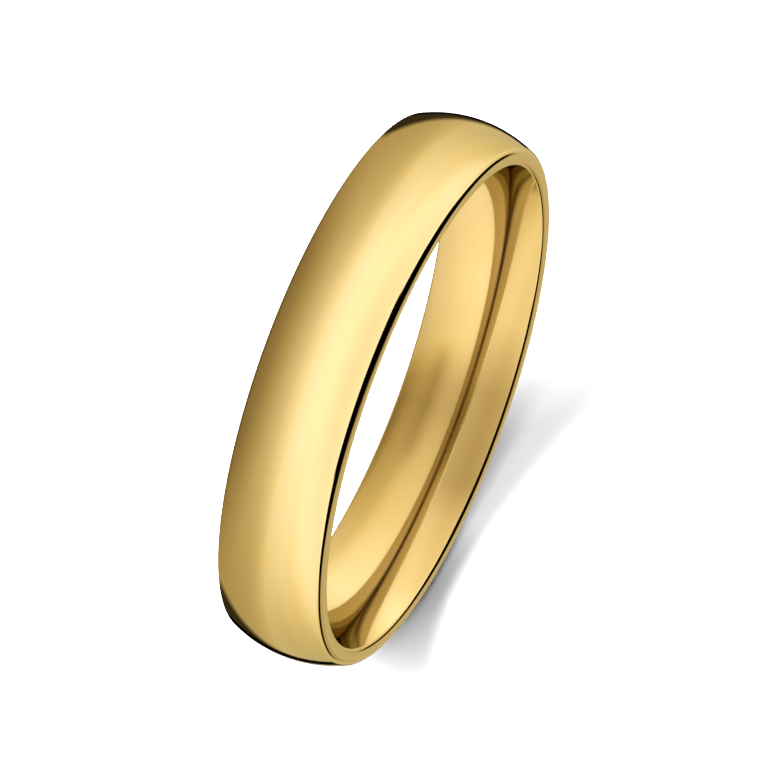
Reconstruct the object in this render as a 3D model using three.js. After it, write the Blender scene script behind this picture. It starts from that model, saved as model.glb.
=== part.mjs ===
// A plain wedding band in polished yellow gold: one solid ring with a court section.
//
// A court section is domed outside and inside, so that the band slides easily over the knuckle. It is a
// convex oval: two long arcs, four small edge roundings, and a narrow flat on each side.
//
// Units are millimetres. The band stands upright with its bore along Y, and its centre is the origin.

import * as THREE from "three";

// Driving dimensions.
const FINGER_DIAMETER = 17.2; // across the crest of the inner dome, which sets the ring size
const WALL_THICKNESS = 1.5; // at the middle of the width, from the inner crest to the outer crest
const BAND_WIDTH = 4.0; // along the bore
const OUTER_DOME_RADIUS = 4.5; // of the arc across the outside of the section
const INNER_DOME_RADIUS = 4.6; // of the arc across the inside of the section
const OUTER_EDGE_RADIUS = 0.25; // rounding between the outer dome and each side
const INNER_EDGE_RADIUS = 0.15; // rounding between the inner dome and each side

// How finely the curves are divided.
const STEPS_ROUND_THE_BAND = 96;
const STEPS_ACROSS_A_DOME = 10;
const STEPS_ROUND_AN_EDGE = 3;

const SAME_POINT = 1e-6;

const GOLD = new THREE.MeshStandardMaterial({ color: 0xd8b868, roughness: 0.12, metalness: 1.0 });

// In the section, x is the distance from the bore's axis, y runs along the bore, and angles are counted
// from the outward direction.
function arc(centreX, centreY, radius, fromAngle, toAngle, steps) {
  return new THREE.EllipseCurve(centreX, centreY, radius, radius, fromAngle, toAngle).getPoints(steps);
}

// The edge rounding that touches both a dome and the flat side. Its centre lies inside the dome's arc by
// the rounding's own radius, and as far inside the flat side. reach is how far that centre stands from the
// dome's centre towards the dome, and tilt is the direction of the point where the two arcs meet.
function edgeRounding(domeRadius, edgeRadius) {
  const sideways = BAND_WIDTH / 2 - edgeRadius;
  const reach = Math.sqrt((domeRadius - edgeRadius) ** 2 - sideways ** 2);
  return { sideways, reach, tilt: Math.atan2(sideways, reach) };
}

// The closed outline of the section, anticlockwise from the lower end of the outer dome.
function courtSection() {
  const innerCrest = FINGER_DIAMETER / 2;
  const outerCrest = innerCrest + WALL_THICKNESS;
  const outerCentre = outerCrest - OUTER_DOME_RADIUS;
  const innerCentre = innerCrest + INNER_DOME_RADIUS;
  const outer = edgeRounding(OUTER_DOME_RADIUS, OUTER_EDGE_RADIUS);
  const inner = edgeRounding(INNER_DOME_RADIUS, INNER_EDGE_RADIUS);
  const innerFrom = Math.PI - inner.tilt;
  const innerTo = Math.PI + inner.tilt;

  const outerEdge = (side, from, to) =>
    arc(outerCentre + outer.reach, side * outer.sideways, OUTER_EDGE_RADIUS, from, to, STEPS_ROUND_AN_EDGE);
  const innerEdge = (side, from, to) =>
    arc(innerCentre - inner.reach, side * inner.sideways, INNER_EDGE_RADIUS, from, to, STEPS_ROUND_AN_EDGE);

  const outline = [
    ...arc(outerCentre, 0, OUTER_DOME_RADIUS, -outer.tilt, outer.tilt, STEPS_ACROSS_A_DOME),
    ...outerEdge(1, outer.tilt, 0.5 * Math.PI),
    ...innerEdge(1, 0.5 * Math.PI, innerFrom),
    ...arc(innerCentre, 0, INNER_DOME_RADIUS, innerFrom, innerTo, STEPS_ACROSS_A_DOME),
    ...innerEdge(-1, innerTo, 1.5 * Math.PI),
    ...outerEdge(-1, 1.5 * Math.PI, 2 * Math.PI - outer.tilt),
  ];

  // Neighbouring arcs share their end points, so each repeated point is left out before the loop is closed.
  const loop = outline.filter((point, i) => point.distanceTo(outline.at(i - 1)) > SAME_POINT);
  return [...loop, loop[0].clone()];
}

function makeBand() {
  const band = new THREE.Mesh(new THREE.LatheGeometry(courtSection(), STEPS_ROUND_THE_BAND), GOLD);
  band.name = "band";
  return band;
}

const weddingBand = new THREE.Group();
weddingBand.add(makeBand());

export default weddingBand;
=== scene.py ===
import math

import bpy
import numpy as np
from mathutils import Matrix, Vector


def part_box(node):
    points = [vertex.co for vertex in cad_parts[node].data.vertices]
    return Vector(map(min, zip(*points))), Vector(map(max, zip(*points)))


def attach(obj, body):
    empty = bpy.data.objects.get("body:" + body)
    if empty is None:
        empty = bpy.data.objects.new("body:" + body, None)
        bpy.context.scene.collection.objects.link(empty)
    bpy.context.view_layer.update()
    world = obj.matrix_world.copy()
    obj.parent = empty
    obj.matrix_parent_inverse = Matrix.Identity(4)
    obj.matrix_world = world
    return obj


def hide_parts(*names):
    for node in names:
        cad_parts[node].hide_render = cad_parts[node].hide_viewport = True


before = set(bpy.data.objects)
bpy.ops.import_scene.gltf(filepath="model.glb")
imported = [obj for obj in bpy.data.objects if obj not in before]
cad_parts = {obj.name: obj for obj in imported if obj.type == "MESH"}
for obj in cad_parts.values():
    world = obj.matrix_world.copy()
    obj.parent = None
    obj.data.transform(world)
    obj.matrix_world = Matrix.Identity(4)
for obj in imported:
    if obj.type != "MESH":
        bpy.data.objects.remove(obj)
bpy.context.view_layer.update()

# The band is turned about the Y axis through the origin, so its main sizes come from the CAD node.
BAND_LOW, BAND_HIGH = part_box("band")
OUTER_RADIUS = BAND_HIGH.x
HALF_WIDTH = BAND_HIGH.y
INNER_RADIUS = min(math.hypot(v.co.x, v.co.z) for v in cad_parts["band"].data.vertices)

# The rest of its court section, in metres.
OUTER_DOME_RADIUS = 0.0045
INNER_DOME_RADIUS = 0.0046
OUTER_EDGE_RADIUS = 0.00025
INNER_EDGE_RADIUS = 0.00015

# How finely the visible band is divided.
STEPS_ROUND_THE_BAND = 512
STEPS_ACROSS_A_DOME = 40
STEPS_ROUND_AN_EDGE = 12
SAME_POINT = 1e-9

# The gold. Its colour goes over from the bore's to the outside's between these distances from the axis. The
# bore's colours hold painted light and shade.
BORE_COLOUR_TO = 0.0091
OUTSIDE_COLOUR_FROM = 0.0094
OUTSIDE_GOLD = (0.982, 0.715, 0.258, 1.0)
OUTSIDE_GOLD_IN_CLOUDS = (0.968, 0.695, 0.242, 1.0)
# Painted shade and reflections in the bore: the bore's gold is painted darker and more orange than the
# outside's. Where the bore shows in reflections it is painted paler, and reflections that cross the bore
# straight across are painted dark.
BORE_GOLD_WITH_PAINTED_SHADE = (0.94, 0.64, 0.195, 1.0)
BORE_GOLD_PAINTED_PALE_IN_REFLECTIONS = (0.94, 0.78, 0.48, 1.0)
BORE_REFLECTION_PAINTED_DARK_ACROSS = (0.2, 0.12, 0.05, 1.0)
GLANCING_TINT = (1.0, 0.97, 0.72, 1.0)

WHITE = (1.0, 1.0, 1.0, 1.0)
BLACK = (0.0, 0.0, 0.0, 1.0)

# Where the camera stands, seen from the middle of the band.
CAMERA_AZIMUTH = math.radians(-64.93)
CAMERA_ELEVATION = math.radians(51.17)
CAMERA_DISTANCE = 40.605 * OUTER_RADIUS
CAMERA_LENS = 544.6
CAMERA_SENSOR = 36.0
AIM_LEFT = 0.0056 * OUTER_RADIUS
AIM_UP = 0.0189 * OUTER_RADIUS

TOWARDS_CAMERA = Vector((
    math.sin(CAMERA_AZIMUTH) * math.cos(CAMERA_ELEVATION),
    -math.cos(CAMERA_AZIMUTH) * math.cos(CAMERA_ELEVATION),
    math.sin(CAMERA_ELEVATION),
))
CAMERA_RIGHT = Vector((math.cos(CAMERA_AZIMUTH), math.sin(CAMERA_AZIMUTH), 0.0))
CAMERA_UP = TOWARDS_CAMERA.cross(CAMERA_RIGHT)

# Two directions in the plane of the ring: towards the camera, and square to that, up the picture.
NEAR = Vector((TOWARDS_CAMERA.x, 0.0, TOWARDS_CAMERA.z)).normalized()
UPWARDS = Vector((NEAR.z, 0.0, -NEAR.x))

# The light tent is brightest round the bore this far upwards from NEAR.
TENT_LEAN = math.radians(8)

# Soft boxes round the band: elevation and azimuth in degrees, and share of the floor's brightness.
SOFT_BOXES = [
    (16, 25, 0.4),
    (30, 180, 0.75),
    (42, 120, 0.6),
    (42, 145, 0.9),
]
SOFT_BOX_SIZE = 13 * OUTER_RADIUS
SOFT_BOX_DISTANCE = 25 * OUTER_RADIUS

# The floor. Near the band it shows the soft boxes' light, and beyond that it is plain white.
FLOOR_PALENESS = 0.9
FLOOR_REACH = 400 * OUTER_RADIUS

# Places and lengths from here down to the functions are in outer radii of the band.
WHITE_FLOOR_FROM = 5.0
WHITE_FLOOR_BY = 12.0

# The two filters stand across the bore's axis, one behind the ring and one in front of it.
FAR_GEL_Y = 0.6
FAR_GEL_REACH = 20.0
NEAR_GEL_Y = -0.25
NEAR_GEL_REACH = 1.3

# How the filters tell the parts of the band apart.
BORE_HALF_LENGTH = 0.19  # along the bore, from the middle to just short of the edge roundings
FAR_RIM_FROM = 0.175  # along the bore
OUTER_DOME_FROM = 0.93  # from the axis
ROUNDING_MARGIN = 0.003  # along the bore
NEAR_END_RAY_LENGTH = 0.25  # rays from the near end reach the near filter within this


# ---------------------------------------------------------------- node trees

def node(tree, kind, inputs=None, output=0, **settings):
    """Adds a node, sets or links its inputs, and returns one of its outputs."""
    made = tree.nodes.new(kind)
    for name, value in settings.items():
        setattr(made, name, value)
    for name, value in (inputs or {}).items():
        socket = made.inputs[name]
        if isinstance(value, bpy.types.NodeSocket):
            tree.links.new(value, socket)
        else:
            socket.default_value = value
    return made.outputs[output]


def maths(tree, operation, *values):
    return node(tree, "ShaderNodeMath", dict(enumerate(values)), operation=operation)


def chain(tree, operation, values):
    result = values[0]
    for value in values[1:]:
        result = maths(tree, operation, result, value)
    return result


def multiply(tree, *values):
    return chain(tree, "MULTIPLY", values)


def add(tree, *values):
    return chain(tree, "ADD", values)


def largest(tree, *values):
    return chain(tree, "MAXIMUM", values)


def absolute(tree, value):
    return maths(tree, "ABSOLUTE", value)


def below(tree, value, limit):
    return maths(tree, "LESS_THAN", value, limit)


def above(tree, value, limit):
    return maths(tree, "GREATER_THAN", value, limit)


def vector_maths(tree, operation, *values):
    output = "Value" if operation in ("DOT_PRODUCT", "LENGTH") else "Vector"
    return node(tree, "ShaderNodeVectorMath", dict(enumerate(values)), output, operation=operation)


def dot(tree, first, second):
    return vector_maths(tree, "DOT_PRODUCT", first, second)


def scale(tree, vector, factor):
    return node(tree, "ShaderNodeVectorMath", {0: vector, "Scale": factor}, operation="SCALE")


def component(tree, vector, axis):
    return node(tree, "ShaderNodeSeparateXYZ", {0: vector}, "XYZ".index(axis))


def across_axis(tree, vector):
    """The vector without its part along the bore's axis."""
    return vector_maths(tree, "MULTIPLY", vector, (1.0, 0.0, 1.0))


def distance_from_axis(tree, place):
    return vector_maths(tree, "LENGTH", across_axis(tree, place))


def linear_step(tree, value, low, high, to_low=0.0, to_high=1.0, **settings):
    """Goes evenly from to_low to to_high while value goes from low to high."""
    inputs = {"Value": value, "From Min": low, "From Max": high, "To Min": to_low, "To Max": to_high}
    return node(tree, "ShaderNodeMapRange", inputs, **settings)


def smooth_step(tree, value, low, high, to_low=0.0, to_high=1.0):
    """Goes from to_low to to_high as linear_step does, but starts and ends gently."""
    return linear_step(tree, value, low, high, to_low, to_high, interpolation_type="SMOOTHSTEP")


def curve(tree, value, points):
    """A curve through (value, result) points, level beyond the first and the last."""
    low, high = points[0][0], points[-1][0]
    top = max(result for _, result in points)
    made = tree.nodes.new("ShaderNodeValToRGB")
    ramp = made.color_ramp
    while len(ramp.elements) < len(points):
        ramp.elements.new(0.5)
    for element, (at, result) in zip(ramp.elements, points):
        element.position = (at - low) / (high - low)
        element.color = (result / top, result / top, result / top, 1.0)
    tree.links.new(linear_step(tree, value, low, high), made.inputs[0])
    return maths(tree, "MULTIPLY", made.outputs[0], top)


def mix_value(tree, factor, first, second):
    return node(tree, "ShaderNodeMix", {0: factor, 2: first, 3: second})


def mix_colour(tree, factor, first, second):
    return node(tree, "ShaderNodeMix", {0: factor, 6: first, 7: second}, 2, data_type="RGBA")


def noise(tree, place, noise_scale, detail=2.0):
    return node(tree, "ShaderNodeTexNoise", {"Vector": place, "Scale": noise_scale, "Detail": detail})


def light_path(tree, name):
    return node(tree, "ShaderNodeLightPath", output=name)


def set_surface(tree, shader, kind="ShaderNodeOutputMaterial"):
    tree.links.new(shader, tree.nodes.new(kind).inputs["Surface"])


def new_material(name):
    material = bpy.data.materials.new(name)
    material.use_nodes = True
    material.node_tree.nodes.clear()
    return material


def new_mesh_object(name, corners, faces):
    mesh = bpy.data.meshes.new(name)
    mesh.from_pydata(corners, [], faces)
    made = bpy.data.objects.new(name, mesh)
    bpy.context.collection.objects.link(made)
    return made


def new_square(name, corner_at, reach):
    """A square whose corners are where corner_at puts (-reach, -reach) and so on, in order round it."""
    corners = [corner_at(i * reach, j * reach) for i, j in ((-1, -1), (1, -1), (1, 1), (-1, 1))]
    return new_mesh_object(name, corners, [(0, 1, 2, 3)])


# ---------------------------------------------------------------- the band

def arc(centre_x, centre_y, radius, start, end, steps):
    """Rows of x, y and the outward normal's x, y along an arc of the section."""
    angles = np.linspace(start, end, steps + 1)
    x, y = np.cos(angles), np.sin(angles)
    return np.column_stack([centre_x + radius * x, centre_y + radius * y, x, y])


def edge_rounding(dome_radius, edge_radius):
    """For the rounding that touches a dome and the flat side: its centre's distance along the bore, how far
    its centre is from the dome's centre towards the dome, and the tilt at which dome and rounding meet."""
    sideways = HALF_WIDTH - edge_radius
    reach = math.sqrt((dome_radius - edge_radius) ** 2 - sideways ** 2)
    return sideways, reach, math.atan2(sideways, reach)


outer_side, outer_reach, outer_tilt = edge_rounding(OUTER_DOME_RADIUS, OUTER_EDGE_RADIUS)
inner_side, inner_reach, inner_tilt = edge_rounding(INNER_DOME_RADIUS, INNER_EDGE_RADIUS)

# The narrow flat on each side lies between the centres of the two roundings.
FLAT_INSIDE = INNER_RADIUS + INNER_DOME_RADIUS - inner_reach
FLAT_OUTSIDE = OUTER_RADIUS - OUTER_DOME_RADIUS + outer_reach


def court_section():
    """The closed outline, anticlockwise from the outer dome: x from the bore's axis, y along the bore."""
    turn = math.pi
    edge = STEPS_ROUND_AN_EDGE
    dome = STEPS_ACROSS_A_DOME
    outer_centre = OUTER_RADIUS - OUTER_DOME_RADIUS
    inner_centre = INNER_RADIUS + INNER_DOME_RADIUS
    outline = np.vstack([
        arc(outer_centre, 0, OUTER_DOME_RADIUS, -outer_tilt, outer_tilt, dome),
        arc(FLAT_OUTSIDE, outer_side, OUTER_EDGE_RADIUS, outer_tilt, turn / 2, edge),
        arc(FLAT_INSIDE, inner_side, INNER_EDGE_RADIUS, turn / 2, turn - inner_tilt, edge),
        arc(inner_centre, 0, INNER_DOME_RADIUS, turn - inner_tilt, turn + inner_tilt, dome),
        arc(FLAT_INSIDE, -inner_side, INNER_EDGE_RADIUS, turn + inner_tilt, 1.5 * turn, edge),
        arc(FLAT_OUTSIDE, -outer_side, OUTER_EDGE_RADIUS, 1.5 * turn, 2 * turn - outer_tilt, edge),
    ])
    step_back = outline[:, :2] - np.roll(outline[:, :2], 1, axis=0)
    return outline[np.hypot(*step_back.T) > SAME_POINT]


def make_band():
    section = court_section()
    around = np.linspace(0, 2 * math.pi, STEPS_ROUND_THE_BAND, endpoint=False)
    cos, sin = np.cos(around)[:, None], np.sin(around)[:, None]
    x, y, normal_x, normal_y = section.T

    def turned(radial, axial):
        level = np.broadcast_to(axial, (len(around), len(axial)))
        return np.stack([radial * cos, level, radial * sin], axis=-1).reshape(-1, 3)

    across = len(section)
    index = np.arange(len(around) * across).reshape(len(around), across)
    next_round = np.roll(index, -1, axis=0)
    corners = [index, np.roll(index, -1, axis=1), np.roll(next_round, -1, axis=1), next_round]
    faces = np.stack(corners, axis=-1).reshape(-1, 4)

    band = new_mesh_object("wedding_band", turned(x, y).tolist(), faces.tolist())
    band.data.shade_smooth()
    band.data.normals_split_custom_set_from_vertices(turned(normal_x, normal_y).tolist())
    band.data.materials.append(polished_gold())
    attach(band, "root")
    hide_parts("band")


# ---------------------------------------------------------------- the gold

def lines_round_the_band(tree, place, tilt, width):
    """Noise drawn out round the band, about width metres across, that climbs along the bore by tilt."""
    x, y, z = (component(tree, place, axis) for axis in "XYZ")
    across = add(tree, y, distance_from_axis(tree, place), multiply(tree, z, tilt))
    stretched = node(tree, "ShaderNodeCombineXYZ", {
        0: multiply(tree, x, 200.0),
        1: multiply(tree, z, 200.0),
        2: maths(tree, "DIVIDE", across, width),
    })
    return noise(tree, stretched, 1.0)


def polished_surface(tree, place):
    """The height of the surface in metres: fine polishing lines, and a few hairline scratches."""
    height = multiply(tree, lines_round_the_band(tree, place, 0.0, 0.00012), 0.9e-7)
    worn = smooth_step(tree, noise(tree, place, 420.0), 0.48, 0.62)
    for tilt, width in ((0.35, 0.00007), (-0.8, 0.00009)):
        lines = lines_round_the_band(tree, place, tilt, width)
        scratch = smooth_step(tree, lines, 0.66, 0.72, 0.0, -1.6e-7)
        height = add(tree, height, multiply(tree, scratch, worn))
    return height


def gold_roughness(tree, place, cloud, inside):
    cloudy = linear_step(tree, cloud, 0.35, 0.65, 0.035, 0.065)
    lined = linear_step(tree, lines_round_the_band(tree, place, 0.0, 0.0002), 0.4, 0.7, 0.0, 0.02)
    return add(tree, cloudy, lined, multiply(tree, inside, 0.02))


def bore_colour_with_painted_light(tree):
    """The bore's colour, painted darker and more orange than the outside gold as shade. The bore sees itself,
    and gold on gold would turn orange, so where the bore shows in reflections its colour is painted paler.
    Those reflections are painted darkest straight across.
    """
    again = above(tree, light_path(tree, "Glossy Depth"), 0.5)
    colour = mix_colour(tree, again, BORE_GOLD_WITH_PAINTED_SHADE, BORE_GOLD_PAINTED_PALE_IN_REFLECTIONS)
    incoming = node(tree, "ShaderNodeNewGeometry", output="Incoming")
    along = add(tree, component(tree, incoming, "Y"), 0.04)
    # Painted shade: reflected rays that cross the bore straight across meet a dark painted colour.
    painted_dark_across = smooth_step(tree, absolute(tree, along), 0.0, 0.04, 1.0, 0.0)
    return mix_colour(tree, multiply(tree, again, painted_dark_across), colour, BORE_REFLECTION_PAINTED_DARK_ACROSS)


def polished_gold():
    material = new_material("polished_gold")
    tree = material.node_tree
    place = node(tree, "ShaderNodeTexCoord", output="Object")
    radius = distance_from_axis(tree, place)
    inside = smooth_step(tree, radius, BORE_COLOUR_TO, OUTSIDE_COLOUR_FROM, 1.0, 0.0)
    cloud = noise(tree, place, 350.0, 3.0)
    outside_colour = mix_colour(tree, cloud, OUTSIDE_GOLD, OUTSIDE_GOLD_IN_CLOUDS)
    set_surface(tree, node(tree, "ShaderNodeBsdfPrincipled", {
        "Base Color": mix_colour(tree, inside, outside_colour, bore_colour_with_painted_light(tree)),
        "Specular Tint": GLANCING_TINT,
        "Metallic": 1.0,
        "Roughness": gold_roughness(tree, place, cloud, inside),
        "Normal": node(tree, "ShaderNodeBump", {"Height": polished_surface(tree, place), "Distance": 1.0}),
    }))
    return material


# ---------------------------------------------------------------- the light tent

def warm(tree, level):
    """The colour of light at this level: warm where it is dim, whiter where it is bright."""
    green = curve(tree, level, [(0.0, 0.85), (0.4, 0.89), (0.95, 1.0), (1.2, 1.07), (1.5, 1.12)])
    blue = curve(tree, level, [(0.0, 0.58), (0.35, 0.66), (0.9, 0.95), (1.2, 1.4), (1.5, 1.8)])
    return node(tree, "ShaderNodeCombineColor", {
        0: level,
        1: multiply(tree, level, green),
        2: multiply(tree, level, blue),
    })


def from_near_end(tree, direction):
    """The angle between a direction and the bore's near end, in degrees."""
    cosine = dot(tree, direction, (0.0, -1.0, 0.0))
    return maths(tree, "DEGREES", maths(tree, "ARCCOSINE", cosine))


def turn_about_bore(tree, direction):
    """The way a direction faces round the bore, in degrees from the camera's side and positive upwards."""
    towards = dot(tree, direction, tuple(NEAR))
    up = dot(tree, direction, tuple(UPWARDS))
    return maths(tree, "DEGREES", maths(tree, "ARCTAN2", up, towards))


def tent_level(tree, direction):
    """How bright the tent is in a direction. It is shaped round the ring's axis."""
    degrees = from_near_end(tree, direction)
    along = curve(tree, degrees, [
        (55, 1.18), (63, 1.07), (69, 1.05), (83, 1.2), (92, 1.19), (105, 1.05), (125, 0.95), (146, 0.62),
        (160, 0.52),
    ])
    sideways = vector_maths(tree, "NORMALIZE", across_axis(tree, direction))
    brightest = NEAR * math.cos(TENT_LEAN) + UPWARDS * math.sin(TENT_LEAN)
    facing = linear_step(tree, dot(tree, sideways, tuple(brightest)), -1.0, 1.0)
    near_end = curve(tree, facing, [
        (0.0, 0.5), (0.1, 0.7), (0.2, 0.85), (0.33, 0.95), (0.5, 1.02), (0.75, 1.04), (1.0, 1.0),
    ])
    middle = curve(tree, facing, [
        (0.0, 0.47), (0.1, 0.54), (0.4, 0.78), (0.6, 0.88), (0.9, 1.0), (1.0, 1.01),
    ])
    far_end = curve(tree, facing, [(0.0, 0.66), (0.07, 0.7), (0.6, 0.92), (1.0, 1.06)])
    around = mix_value(tree, smooth_step(tree, degrees, 74, 90), near_end, middle)
    around = mix_value(tree, smooth_step(tree, degrees, 96, 110), around, far_end)
    return multiply(tree, along, around)


def make_tent():
    """The gold reflects the tent, and sees less of it at each further bounce. The camera sees plain white."""
    world = bpy.data.worlds.new("light_tent")
    bpy.context.scene.world = world
    world.use_nodes = True
    world.cycles.sampling_method = "NONE"
    tree = world.node_tree
    tree.nodes.clear()
    direction = node(tree, "ShaderNodeTexCoord", output="Generated")
    again = curve(tree, light_path(tree, "Glossy Depth"), [(1, 1.0), (2, 0.53), (3, 0.25), (4, 0.12)])
    seen_by_gold = scale(tree, warm(tree, tent_level(tree, direction)), again)
    colour = mix_colour(tree, light_path(tree, "Is Glossy Ray"), BLACK, seen_by_gold)
    colour = mix_colour(tree, light_path(tree, "Is Camera Ray"), colour, WHITE)
    set_surface(tree, node(tree, "ShaderNodeBackground", {"Color": colour}), "ShaderNodeOutputWorld")


# ---------------------------------------------------------------- filters that only reflections meet

def make_gel(name, y, reach, level_of):
    """A square filter across the bore's axis at y. level_of gives its clearness."""
    gel = new_square(name, lambda x, z: Vector((x, y, z)) * OUTER_RADIUS, reach)
    material = new_material(name)
    tree = material.node_tree
    set_surface(tree, node(tree, "ShaderNodeBsdfTransparent", {"Color": warm(tree, level_of(tree))}))
    gel.data.materials.append(material)
    for kind in ("camera", "diffuse", "shadow", "transmission", "volume_scatter"):
        setattr(gel, "visible_" + kind, False)


def place_in_radii(tree):
    return scale(tree, node(tree, "ShaderNodeNewGeometry", output="Position"), 1 / OUTER_RADIUS)


def ray_direction(tree):
    return scale(tree, node(tree, "ShaderNodeNewGeometry", output="Incoming"), -1.0)


def ray_length(tree):
    return maths(tree, "DIVIDE", light_path(tree, "Ray Length"), OUTER_RADIUS)


def ray_start(tree):
    """Where the ray that meets this gel set off from."""
    incoming = node(tree, "ShaderNodeNewGeometry", output="Incoming")
    back = scale(tree, incoming, ray_length(tree))
    return vector_maths(tree, "ADD", place_in_radii(tree), back)


def angle_from(tree, direction, right, up):
    """The angle between a direction and the camera's line of sight turned by right and up, in degrees."""
    right, up = math.radians(right), math.radians(up)
    axis = -TOWARDS_CAMERA * math.cos(right) + CAMERA_RIGHT * math.sin(right)
    axis = axis * math.cos(up) + CAMERA_UP * math.sin(up)
    cosine = dot(tree, direction, tuple(axis.normalized()))
    return maths(tree, "DEGREES", maths(tree, "ARCCOSINE", cosine))


def level_for_bore(tree, start, level, first, later):
    """Gives level, but first to the bore's first reflections and later to its further ones."""
    inside = below(tree, distance_from_axis(tree, start), FLAT_INSIDE / OUTER_RADIUS)
    between = below(tree, absolute(tree, component(tree, start, "Y")), BORE_HALF_LENGTH)
    again = above(tree, light_path(tree, "Glossy Depth"), 1.5)
    bore = mix_value(tree, again, first, later)
    return mix_value(tree, multiply(tree, inside, between), level, bore)


def bore_level_far(tree):
    """What the bore sees through its far end."""
    direction = ray_direction(tree)
    turn = turn_about_bore(tree, direction)
    level = curve(tree, turn, [
        (-180, 1.0), (-130, 1.34), (-70, 1.18), (-36, 0.98), (-14, 0.6), (0, 0.54), (25, 0.71), (60, 0.94),
        (115, 1.42), (180, 1.2),
    ])
    degrees = from_near_end(tree, direction)
    low = curve(tree, degrees, [(97, 0.9), (104, 1.0), (128, 0.99), (144, 1.15)])
    high = curve(tree, degrees, [(97, 0.92), (104, 1.0), (118, 1.0), (129, 0.85), (144, 0.93), (152, 0.62)])
    streak = curve(tree, degrees, [(112, 1.0), (124, 0.72), (130, 0.88), (137, 1.0)])
    streak = mix_value(tree, smooth_step(tree, absolute(tree, turn), 18, 40), streak, 1.0)
    return multiply(tree, level, streak, mix_value(tree, smooth_step(tree, turn, -30, 30), low, high))


def bore_level_near(tree):
    """What the bore sees through its near end."""
    return curve(tree, turn_about_bore(tree, ray_direction(tree)), [
        (-180, 0.2), (-145, 0.3), (-131, 0.95), (-50, 0.83), (-15, 0.5), (30, 0.48), (50, 0.74), (90, 0.93),
        (110, 1.15), (180, 1.4),
    ])


def grey_round_ring(tree, place):
    """Grey close behind the ring, which clears with distance and is even at the sides."""
    radius = distance_from_axis(tree, place)
    grey = curve(tree, radius, [(1.1, 0.4), (1.25, 0.47), (2.4, 0.84), (3.2, 0.97), (4.0, 1.0)])
    upwards = dot(tree, place, tuple(UPWARDS))
    towards_side = maths(tree, "DIVIDE", absolute(tree, upwards), radius)
    lift = smooth_step(tree, towards_side, 0.4, 1.0, 0.0, 0.75)
    lift = multiply(tree, lift, linear_step(tree, radius, 1.8, 3.0, 1.0, 0.0))
    return mix_value(tree, lift, grey, 0.66)


def dark_card(tree, direction, start, steepness):
    """A card that only the band's upper and lower ends see, where they are seen at a low angle."""
    card = smooth_step(tree, angle_from(tree, direction, -24, 9), 30, 36, 0.08, 1.0)
    start_up = absolute(tree, dot(tree, start, tuple(UPWARDS)))
    on_far_rim = above(tree, component(tree, start, "Y"), FAR_RIM_FROM)
    ends_from = mix_value(tree, on_far_rim, 0.45, 0.8)
    ends_by = mix_value(tree, on_far_rim, 0.6, 0.85)
    away_from_ends = smooth_step(tree, start_up, ends_from, ends_by, 1.0, 0.0)
    return largest(tree, card, away_from_ends, smooth_step(tree, steepness, 0.36, 0.5))


def far_gel_level(tree):
    """Darkens what the outer dome sees behind the ring."""
    direction = ray_direction(tree)
    start = ray_start(tree)
    outwards = vector_maths(tree, "NORMALIZE", across_axis(tree, start))
    steepness = absolute(tree, dot(tree, outwards, direction))

    # Two dark spots with a lighter sliver between them, which need a lower angle still.
    steep = smooth_step(tree, steepness, 0.3, 0.4)
    spot = smooth_step(tree, angle_from(tree, direction, 0, 0), 14, 17)
    low_spot = smooth_step(tree, angle_from(tree, direction, 0, -9), 12, 14)
    spots = largest(tree, multiply(tree, spot, low_spot), steep)
    sliver = smooth_step(tree, angle_from(tree, direction, 2, -7), 5, 7, 0.75, 0.0)
    sliver = mix_value(tree, steep, sliver, 0.0)

    grey = grey_round_ring(tree, place_in_radii(tree))
    card = dark_card(tree, direction, start, steepness)
    not_from_dome = below(tree, distance_from_axis(tree, start), OUTER_DOME_FROM)
    behind = largest(tree, multiply(tree, grey, card, spots), sliver, not_from_dome)
    return level_for_bore(tree, start, behind, bore_level_far(tree), 1.0)


def start_of_rounding(edge_radius, tilt, margins):
    """How far along the bore a rounding begins, less a number of margins."""
    begins = (HALF_WIDTH - edge_radius * (1 - math.sin(tilt))) / OUTER_RADIUS
    return begins - margins * ROUNDING_MARGIN


def on_near_rounding(tree, start):
    """1 for rays that set off from an edge rounding at the near end, and 0 for the flat and the domes."""
    radius = distance_from_axis(tree, start)
    along = multiply(tree, component(tree, start, "Y"), -1.0)
    past_outer = above(tree, along, start_of_rounding(OUTER_EDGE_RADIUS, outer_tilt, 1))
    past_inner = above(tree, along, start_of_rounding(INNER_EDGE_RADIUS, inner_tilt, 2))
    outer = multiply(tree, above(tree, radius, FLAT_OUTSIDE / OUTER_RADIUS), past_outer)
    inner = multiply(tree, below(tree, radius, FLAT_INSIDE / OUTER_RADIUS), past_inner)
    close = below(tree, ray_length(tree), NEAR_END_RAY_LENGTH)
    return multiply(tree, close, add(tree, outer, inner))


def offset_in_oval(tree, degrees, turn):
    """How far a direction is from the middle of an oval round the way the flat looks. It is 1 on the oval."""
    turn = maths(tree, "RADIANS", turn)
    squares = []
    for function, middle, reach in (("COSINE", -53.0, 42.0), ("SINE", -11.0, 18.0)):
        part = multiply(tree, degrees, maths(tree, function, turn))
        offset = maths(tree, "DIVIDE", maths(tree, "SUBTRACT", part, middle), reach)
        squares.append(multiply(tree, offset, offset))
    return maths(tree, "SQRT", add(tree, *squares))


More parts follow.
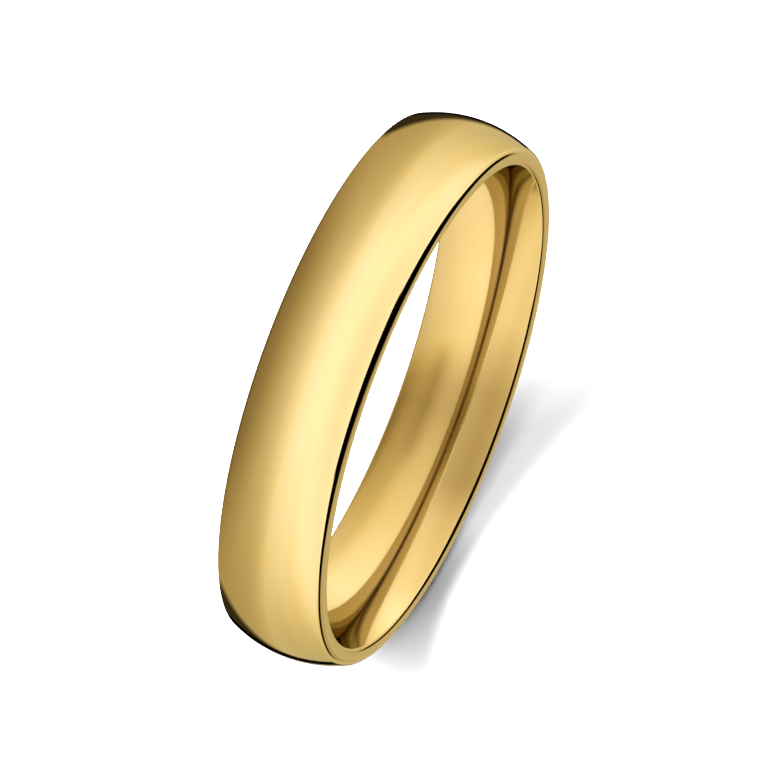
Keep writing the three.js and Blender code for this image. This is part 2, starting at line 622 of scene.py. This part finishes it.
def near_gel_level(tree):
    """Black in front of the near end, seen only by its edge roundings."""
    direction = ray_direction(tree)
    start = ray_start(tree)
    degrees = from_near_end(tree, direction)
    turn = turn_about_bore(tree, direction)
    reach = curve(tree, turn, [
        (-180, 74), (-160, 80), (-118, 52), (-79, 50), (-34, 64), (34, 64), (59, 53), (82, 48), (128, 49),
        (145, 56), (162, 69), (180, 74),
    ])
    black = smooth_step(tree, maths(tree, "SUBTRACT", degrees, reach), -1.5, 1.5, 1.0, 0.0)

    # It fades inside the oval, which leaves a band of gold beside the black line.
    faded = smooth_step(tree, offset_in_oval(tree, degrees, turn), 0.3, 1.1)
    black = multiply(tree, black, faded, on_near_rounding(tree, start))
    clear = maths(tree, "SUBTRACT", 1.0, black)
    return level_for_bore(tree, start, clear, bore_level_near(tree), 0.85)


# ---------------------------------------------------------------- floor, lamps and camera

def make_floor():
    floor = new_square("floor", lambda x, y: (x, y, BAND_LOW.z), FLOOR_REACH)
    material = new_material("pale_floor")
    tree = material.node_tree
    lit = node(tree, "ShaderNodeBsdfDiffuse", {"Color": (FLOOR_PALENESS,) * 3 + (1.0,)})
    distance = vector_maths(tree, "LENGTH", place_in_radii(tree))
    far_off = smooth_step(tree, distance, WHITE_FLOOR_FROM, WHITE_FLOOR_BY)
    white = node(tree, "ShaderNodeEmission", {"Color": WHITE})
    set_surface(tree, node(tree, "ShaderNodeMixShader", {0: far_off, 1: lit, 2: white}))
    floor.data.materials.append(material)
    floor.visible_glossy = False


def make_soft_box(elevation, azimuth, share):
    """A round lamp that gives the floor this share of full brightness. The gold doesn't reflect it."""
    elevation, azimuth = math.radians(elevation), math.radians(azimuth)
    towards = Vector((
        math.cos(elevation) * math.cos(azimuth),
        math.cos(elevation) * math.sin(azimuth),
        math.sin(elevation),
    ))
    light = bpy.data.lights.new("soft_box", "AREA")
    light.shape = "DISK"
    light.size = SOFT_BOX_SIZE
    light.energy = share * (math.pi * SOFT_BOX_DISTANCE) ** 2 / (FLOOR_PALENESS * towards.z)
    lamp = bpy.data.objects.new("soft_box", light)
    bpy.context.collection.objects.link(lamp)
    lamp.location = towards * SOFT_BOX_DISTANCE
    lamp.rotation_mode = "QUATERNION"
    lamp.rotation_quaternion = towards.to_track_quat("Z", "Y")
    lamp.visible_glossy = False
    lamp.visible_camera = False


def make_camera():
    data = bpy.data.cameras.new("camera")
    data.lens = CAMERA_LENS
    data.sensor_width = CAMERA_SENSOR
    data.clip_start = 0.05 * CAMERA_DISTANCE
    data.clip_end = 50 * CAMERA_DISTANCE
    camera = bpy.data.objects.new("camera", data)
    bpy.context.collection.objects.link(camera)
    place = AIM_UP * CAMERA_UP - AIM_LEFT * CAMERA_RIGHT + CAMERA_DISTANCE * TOWARDS_CAMERA
    turned = TOWARDS_CAMERA.to_track_quat("Z", "Y").to_matrix().to_4x4()
    camera.matrix_world = Matrix.Translation(place) @ turned
    bpy.context.scene.camera = camera


make_band()
make_tent()
make_gel("far_gel", FAR_GEL_Y, FAR_GEL_REACH, far_gel_level)
make_gel("near_gel", NEAR_GEL_Y, NEAR_GEL_REACH, near_gel_level)
make_floor()
for soft_box in SOFT_BOXES:
    make_soft_box(*soft_box)
make_camera()
bpy.context.scene.view_settings.view_transform = "Standard"
bpy.context.scene.cycles.caustics_reflective = False
bpy.context.scene.cycles.glossy_bounces = 8
